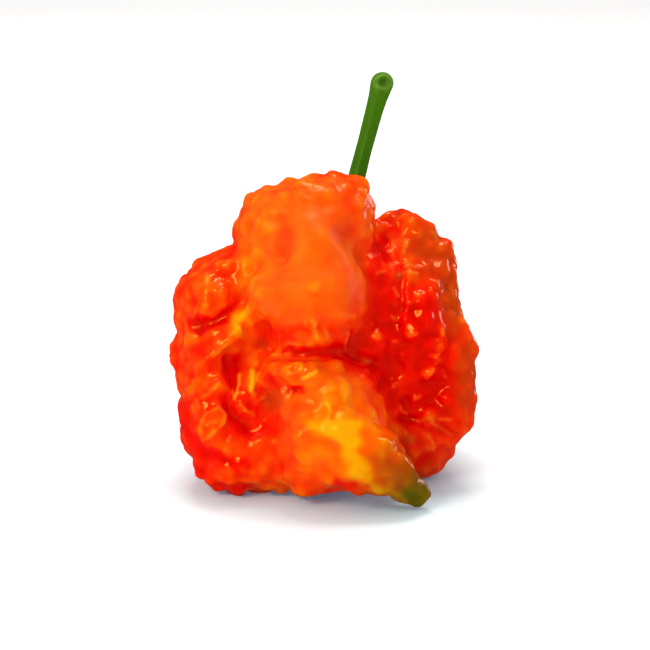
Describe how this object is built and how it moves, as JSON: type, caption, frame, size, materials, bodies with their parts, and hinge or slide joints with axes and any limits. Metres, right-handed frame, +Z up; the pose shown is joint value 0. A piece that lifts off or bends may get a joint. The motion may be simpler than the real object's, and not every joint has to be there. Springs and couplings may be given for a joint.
{
  "type": "wrinkled chilli pod with stem",
  "caption": "Ripe, deeply folded chilli pod with a hooded shoulder, a stinger tail and a green stem, standing on its own bumps.",
  "frame": {"origin": "middle of the bounding box at the level of the surface it stands on", "axes": "+Z up, -Y to the side with the hood and the tail, +X to the right as seen from that side"},
  "size_m": [0.0463, 0.0452, 0.0589],
  "materials": {
    "pod_skin": "glossy, waxy, blistered skin; orange hood, red sides, olive tail tip",
    "stem_green": "smooth green plant stem with a faint sheen"
  },
  "bodies": {
    "root": {"pod": "pod_skin", "stem_and_calyx": "stem_green"}
  },
  "joints": []
}
